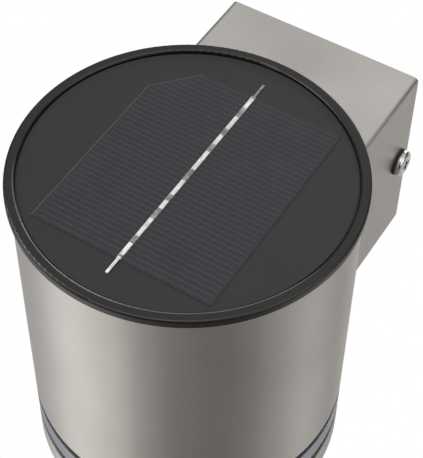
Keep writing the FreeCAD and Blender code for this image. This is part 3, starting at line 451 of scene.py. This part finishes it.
fingers = bmesh.new()
finger_count = int((cell_high.y - cell_low.y - 2 * EDGE_MARGIN) / FINGER_PITCH) + 1
first_finger = (cell_low.y + cell_high.y - (finger_count - 1) * FINGER_PITCH) / 2
for index in range(finger_count):
    y = first_finger + index * FINGER_PITCH
    add_bar(fingers, (left_edge_at(y) + EDGE_MARGIN, y - FINGER_WIDTH / 2, cell_high.z),
            (cell_high.x - EDGE_MARGIN, y + FINGER_WIDTH / 2, cell_high.z + FINGER_RISE))
finish_piece(fingers, "cell_fingers", cell_silver, "solar_head")
print("fingers:", finger_count)

# %% [markdown]
# ## The bright edge of the silicon
# ## The painted highlight on the silicon's edge
# The cell is a third of a wafer, and along its outer sides the edge of the silicon catches the light as a
# thin pale line. It shows down the left side and along the cut corner. It could be a bevel on the cell,
# but the cell's mesh is the model's and stays as it is, so the highlight is painted, as a pale grey flat
# strip of its own that bends once.

# %% Edge line
EDGE_LINE_WIDTH = 0.16 * MM

edge_outline = ((cell_low.x, cell_low.y), (cell_low.x, cut_start), (cell_low.x + CUT_WIDTH, cell_high.y))
edge_line = bmesh.new()
rows = []
for x, y in edge_outline:
    rows.append([edge_line.verts.new((x + inward, y, cell_high.z + rise)) for rise in (0, FINGER_RISE)
                 for inward in (0, EDGE_LINE_WIDTH)])
for near, far in zip(rows, rows[1:]):
    for first, second in ((0, 1), (1, 3), (3, 2), (2, 0)):
        edge_line.faces.new((near[first], near[second], far[second], far[first]))
for end in (rows[0], rows[-1]):
    edge_line.faces.new((end[0], end[1], end[3], end[2]))
# The strip is a painted highlight: pale grey where the silicon's edge catches the light.
finish_piece(edge_line, "painted_cell_edge_line", edge_highlight_paint, "solar_head")
print("edge line corners:", len(edge_outline))

# %% [markdown]
# ## The solder on the ribbon and its painted shine
#
# The ribbon is tacked to the cell with an iron every few millimetres. Where the tin melted it lies flat
# and shines, and between the tacks the ribbon is duller, which gives the broken bright line down the
# panel. That shine is painted, as a near-white tone on the tacks. A noise in the ribbon's material gives
# soft spots, but the real ones have clear ends, so each tack is a thin flat bar. Their lengths and gaps are
# uneven, as handwork is.

# %% Solder tacks
TACK_LENGTHS_MM = (4.2, 6.5, 3.0, 5.4, 7.2, 3.6, 5.0, 6.0)
TACK_GAPS_MM = (2.6, 3.8, 2.2, 4.4, 3.0)
TACK_RISE = 0.05 * MM
TACK_WIDTH = 1.1 * MM
FIRST_TACK_IN = 1.5 * MM      # the first tack starts this far in from the cell's front edge
LAST_START_IN = 3.0 * MM      # no tack starts closer to the cell's back edge
LAST_END_IN = 1.0 * MM        # and none ends closer
TAIL_TACK_WIDTH = 0.8 * MM
TAIL_START_IN = 0.2 * MM      # the tack on the ribbon's tail starts this far in from the tail's end
TAIL_END_IN = 0.8 * MM        # and ends this far in from the cell's front edge

ribbon_low, ribbon_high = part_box("cell_ribbon")
ribbon_x = middle("cell_ribbon").x
tacks = bmesh.new()
tack_start = cell_low.y + FIRST_TACK_IN
tack_number = 0
while tack_start < cell_high.y - LAST_START_IN:
    length = TACK_LENGTHS_MM[tack_number % len(TACK_LENGTHS_MM)] * MM
    tack_end = min(tack_start + length, cell_high.y - LAST_END_IN)
    add_bar(tacks, (ribbon_x - TACK_WIDTH / 2, tack_start, ribbon_high.z),
            (ribbon_x + TACK_WIDTH / 2, tack_end, ribbon_high.z + TACK_RISE))
    tack_start = tack_end + TACK_GAPS_MM[tack_number % len(TACK_GAPS_MM)] * MM
    tack_number += 1
add_bar(tacks, (ribbon_x - TAIL_TACK_WIDTH / 2, ribbon_low.y + TAIL_START_IN, ribbon_high.z),
        (ribbon_x + TAIL_TACK_WIDTH / 2, cell_low.y + TAIL_END_IN, ribbon_high.z + TACK_RISE))
# The tacks are real solder; their near-white tone is a painted shine.
finish_piece(tacks, "ribbon_solder", solder_with_painted_shine, "solar_head")
print("solder tacks on the cell:", tack_number)

# %% [markdown]
# ## The painted reflection on the rim
#
# The rim's inner edge is rounded, and at the front a thin bright line lies on that rounding and fades out
# to both sides. It is a reflection, so it could come from a lamp, but a lamp behind the bracket, where it
# would have to stand, bleaches the bracket's top. So the reflection is painted instead: a skin of a few
# hundredths of a millimetre on the rounding, in a lighter grey, widest at its middle and narrow at its ends.

# %% Rim shine
RIM_GAP = 0.4 * MM            # between the panel's sheet and the rim
RIM_ROUND = 0.6 * MM          # the radius of the rim's rounding
SHINE_RISE = 0.02 * MM        # how far the skin stands off the rounding
SHINE_DEPTH = 0.05 * MM       # how far it reaches into the rim
SHINE_OUTWARD = 0.5           # its underside lies outwards by this share of the depth
SHINE_LEAN = math.radians(70)  # how far it comes down the rounding at its widest
SHINE_MIDDLE = math.radians(8)  # its middle's bearing, a little to the right of the front
SHINE_REACH = math.radians(72)  # how far it goes to each side
SHINE_LEAST_WIDTH = 0.05      # as a share of the widest
SHINE_FADE = 3                # a higher power keeps it wide for longer
SHINE_STEPS = 72
SHINE_TURNS = 5

cap_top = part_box("cap_housing")[1].z
rim_radius = half_width("panel_sheet") + RIM_GAP


def shine_section(width):
    """Radii and heights of the skin over the rounding, from the rim's top down to its inner wall."""
    outline = []
    for turn in range(SHINE_TURNS):
        lean = SHINE_LEAN * width * turn / (SHINE_TURNS - 1)
        outline.append((rim_radius + RIM_ROUND - (RIM_ROUND + SHINE_RISE) * math.sin(lean),
                        cap_top - RIM_ROUND + (RIM_ROUND + SHINE_RISE) * math.cos(lean) - SHINE_RISE))
    under = [(radius + SHINE_DEPTH * SHINE_OUTWARD, height - SHINE_DEPTH)
             for radius, height in reversed(outline)]
    return outline + under


shine = bmesh.new()
loops = []
for step in range(SHINE_STEPS + 1):
    share = 2 * step / SHINE_STEPS - 1
    bearing = SHINE_MIDDLE + share * SHINE_REACH
    width = max(SHINE_LEAST_WIDTH, 1 - abs(share) ** SHINE_FADE)
    loop = []
    for radius, height in shine_section(width):
        loop.append(shine.verts.new((radius * math.sin(bearing), axis_place.y - radius * math.cos(bearing),
                                     height)))
    loops.append(loop)
for near, far in zip(loops, loops[1:]):
    for first in range(len(near)):
        second = (first + 1) % len(near)
        shine.faces.new((near[first], near[second], far[second], far[first]))
shine.faces.new(loops[0])
shine.faces.new(loops[-1])
# The skin is a painted reflection: a lighter grey on the rim's rounding.
finish_piece(shine, "painted_rim_reflection", rim_reflection_paint, "solar_head")
print("rim shine at radius", round(rim_radius / MM, 1), "mm")

# %% [markdown]
# ## Camera
#
# The camera looks down on the lamp from its right, a little under 0.4 m from the head, through a long
# lens. It could be set by eye, but then every comparison starts with a guess. It was found by matching the
# cap's two ellipses and the bracket's edges instead, and is kept as three angles and a place.

# %% Camera
AZIMUTH = math.radians(31.107)
ELEVATION = math.radians(50.898)
ROLL = math.radians(-0.881)
CAMERA_PLACE = Vector((130.2, -275.9, 317.1)) * MM
LENS_MM = 114.9
SENSOR_MM = 36.0
NEAREST_SEEN = 10 * MM

back = Vector((math.sin(AZIMUTH) * math.cos(ELEVATION), -math.cos(AZIMUTH) * math.cos(ELEVATION),
               math.sin(ELEVATION)))
level_right = (-back).cross(Vector((0, 0, 1))).normalized()
level_down = (-back).cross(level_right)
right = math.cos(ROLL) * level_right + math.sin(ROLL) * level_down
down = -math.sin(ROLL) * level_right + math.cos(ROLL) * level_down
camera_data = bpy.data.cameras.new("camera")
camera_data.lens = LENS_MM
camera_data.sensor_width = SENSOR_MM
camera_data.clip_start = NEAREST_SEEN
camera = bpy.data.objects.new("camera", camera_data)
bpy.context.scene.collection.objects.link(camera)
camera.matrix_world = Matrix.Translation(CAMERA_PLACE) @ Matrix((right, -down, back)).transposed().to_4x4()
bpy.context.scene.camera = camera
print("camera at", [round(c / MM) for c in CAMERA_PLACE], "mm")

# %% [markdown]
# ## The studio's grey
#
# Brushed metal shows what stands round it. A plain white room would leave the tube without any bands, and
# walls and cards round the lamp would also light it. So gloss alone sees a grey that changes with the
# compass direction: brightest to the front left, dimmest to the front right, and pale behind. The floor
# and the room share it. Each tone belongs to a bearing in degrees, 0 to the front and 90 to the right.

# %% Studio tones
ROOM_TONES = ((-149, "BEBCBA"), (-104, "B8B5B3"), (-83, "AEABA9"), (-66, "CECBC8"), (-52, "FFFCF7"),
              (-39, "FFFCF7"), (-16, "E8E4DF"), (5, "ABA7A3"), (25, "8B8884"), (50, "7C7976"),
              (71, "82807C"), (88, "A2A09C"), (112, "CAC8C4"), (128, "C4C2BE"), (142, "9E9C98"),
              (163, "CCCAC6"))


def room_ramp(holder, vector):
    """The studio's grey in the direction of a vector, in a material or a world."""
    parts = add(holder, "ShaderNodeSeparateXYZ", Vector=vector)
    outward = add(holder, "ShaderNodeMath", {"operation": "MULTIPLY"}, i0=(parts, "Y"), i1=-1.0)
    bearing = add(holder, "ShaderNodeMath", {"operation": "ARCTAN2"}, i0=(parts, "X"), i1=(outward, "Value"))
    turned = add(holder, "ShaderNodeMapRange", Value=(bearing, "Value"), From_Min=-math.pi, From_Max=math.pi)
    ramp = add(holder, "ShaderNodeValToRGB", Fac=(turned, "Result"))
    ramp.color_ramp.interpolation = "EASE"
    stops = ramp.color_ramp.elements
    while len(stops) < len(ROOM_TONES):
        stops.new(0.5)
    for stop, (degrees, _) in zip(stops, ROOM_TONES):
        stop.position = degrees / 360 + 0.5
    for stop, (_, hex_colour) in zip(stops, ROOM_TONES):
        stop.color = tone(hex_colour)
    return ramp


print("studio tones:", len(ROOM_TONES))

# %% [markdown]
# ## Floor
#
# The lamp floats before plain white, so a large sheet lies a quarter of a metre below it. White paint
# under lamps would turn grey away from them, so the camera, also through the lens, sees the sheet as an
# even white. Gloss sees the studio's grey in it, and to all other light it is matt paper. From below it is
# clear, so that a view from there still shows the lamp.

# %% Floor
FLOOR_HALF = 1.6
FLOOR_DROP = 0.25
FLOOR_GLOSS = 1.1             # the strength of the studio's grey in the floor

floor_mesh = bmesh.new()
bmesh.ops.create_grid(floor_mesh, x_segments=1, y_segments=1, size=FLOOR_HALF)
floor_data = bpy.data.meshes.new("floor")
floor_mesh.to_mesh(floor_data)
floor_mesh.free()
floor = bpy.data.objects.new("floor", floor_data)
bpy.context.scene.collection.objects.link(floor)
floor.location = (0, axis_place.y, cad_low.z - FLOOR_DROP)

paper, paper_shader = new_material("white_paper", Roughness=0.9)
paper_shader.inputs["Base Color"].default_value = tone("F0F0F0")
light_path = add(paper, "ShaderNodeLightPath")
position = add(paper, "ShaderNodeNewGeometry")
from_axis = add(paper, "ShaderNodeVectorMath", {"operation": "SUBTRACT"}, i0=(position, "Position"),
                i1=tuple(axis_place))
floor_room = room_ramp(paper, (from_axis, "Vector"))
mirrored = add(paper, "ShaderNodeEmission", Color=(floor_room, "Color"), Strength=FLOOR_GLOSS)
white = add(paper, "ShaderNodeEmission", Color=tone("FFFFFF"), Strength=1.0)
straight = add(paper, "ShaderNodeMath", {"operation": "MAXIMUM"}, i0=(light_path, "Is Camera Ray"),
               i1=(light_path, "Is Transmission Ray"))
for_gloss = add(paper, "ShaderNodeMixShader", i0=(light_path, "Is Glossy Ray"), i1=(paper_shader, "BSDF"),
                i2=(mirrored, "Emission"))
for_eye = add(paper, "ShaderNodeMixShader", i0=(straight, "Value"), i1=(for_gloss, "Shader"),
              i2=(white, "Emission"))
clear = add(paper, "ShaderNodeBsdfTransparent")
one_sided = add(paper, "ShaderNodeMixShader", i0=(position, "Backfacing"), i1=(for_eye, "Shader"),
                i2=(clear, "BSDF"))
paper_output = paper.node_tree.nodes["Material Output"]
paper.node_tree.links.new(one_sided.outputs["Shader"], paper_output.inputs["Surface"])
floor_data.materials.append(paper)
print("floor ready,", round(FLOOR_DROP / MM), "mm below the lamp")

# %% [markdown]
# ## The room
#
# The room is Blender's world: a light without a place, which fills the shadows. The camera sees it white,
# and for all light but gloss it is half as bright. Gloss sees the studio's grey, darker towards the
# horizon, so that the steel gets its dark bands and the cap its depth. Walls could do the same, but they
# would cast shadows.

# %% World
ROOM_STRENGTH = 0.5
GLOSS_STRENGTH = 1.5
HORIZON_SHARE = 0.15          # how much of the studio's grey is left near the horizon
DARK_UP_TO = 0.35             # the dark part's upper end, as the sine of its angle above the horizon
FULL_FROM = 0.75              # and where the full grey begins

world = bpy.data.worlds.new("pale_room")
bpy.context.scene.world = world
world.use_nodes = True
room = world.node_tree.nodes["Background"]
room.inputs["Color"].default_value = tone("FFFFFF")
room.inputs["Strength"].default_value = ROOM_STRENGTH
sky_path = add(world, "ShaderNodeLightPath")
way_out = add(world, "ShaderNodeTexCoord")
sky_room = room_ramp(world, (way_out, "Generated"))
sky_parts = add(world, "ShaderNodeSeparateXYZ", Vector=(way_out, "Generated"))
sky_height = add(world, "ShaderNodeMapRange", {"interpolation_type": "SMOOTHSTEP"}, Value=(sky_parts, "Z"),
                 From_Min=DARK_UP_TO, From_Max=FULL_FROM, To_Min=GLOSS_STRENGTH * HORIZON_SHARE,
                 To_Max=GLOSS_STRENGTH)
sky_gloss = add(world, "ShaderNodeBackground", Color=(sky_room, "Color"), Strength=(sky_height, "Result"))
sky_white = add(world, "ShaderNodeBackground", Color=tone("FFFFFF"), Strength=1.0)
glossy_mix = add(world, "ShaderNodeMixShader", i0=(sky_path, "Is Glossy Ray"), i1=(room, "Background"),
                 i2=(sky_gloss, "Background"))
sky_mix = add(world, "ShaderNodeMixShader", i0=(sky_path, "Is Camera Ray"), i1=(glossy_mix, "Shader"),
              i2=(sky_white, "Background"))
world_output = world.node_tree.nodes["World Output"]
world.node_tree.links.new(sky_mix.outputs["Shader"], world_output.inputs["Surface"])
print("room ready, gloss strength", GLOSS_STRENGTH)

# %% [markdown]
# ## Lamps
#
# Four soft boxes light the piece: the strongest to the front left, a broad one to the right, a weak one
# above and a small, low one behind. Point lamps would be simpler, but they draw hard spots on brushed
# steel. Each box is placed by the direction that its light comes from, as in a studio, and faces the
# lamp's axis.

# %% Soft boxes
def soft_box(name, azimuth, elevation, distance, size, watts):
    """A square lamp that faces the fence light. Angles are in degrees, and azimuth 90 is to the right."""
    lamp = bpy.data.lights.new(name, "AREA")
    lamp.size = size
    lamp.energy = watts
    holder = bpy.data.objects.new(name, lamp)
    bpy.context.scene.collection.objects.link(holder)
    turn = math.radians(azimuth)
    rise = math.radians(elevation)
    way = Vector((math.sin(turn) * math.cos(rise), -math.cos(turn) * math.cos(rise), math.sin(rise)))
    holder.location = axis_place + way * distance
    holder.rotation_euler = way.to_track_quat("Z", "Y").to_euler()


soft_box("left_soft_box", azimuth=-50, elevation=25, distance=0.9, size=0.5, watts=3.5)
soft_box("right_soft_box", azimuth=85, elevation=25, distance=0.9, size=0.8, watts=2.5)
soft_box("top_soft_box", azimuth=20, elevation=75, distance=1.0, size=0.6, watts=1.8)
soft_box("rear_soft_box", azimuth=-165, elevation=6, distance=0.9, size=0.4, watts=2.5)
print("lamps:", len(bpy.data.lights))

# %% [markdown]
# ## The last settings
#
# The box of the bare frame is measured at the start of this script, and the floor is placed by it.
# Here the picture gets the standard view transform, and the scene is brought up to date.

# %% Set the view transform
bpy.context.scene.view_settings.view_transform = "Standard"
bpy.context.view_layer.update()
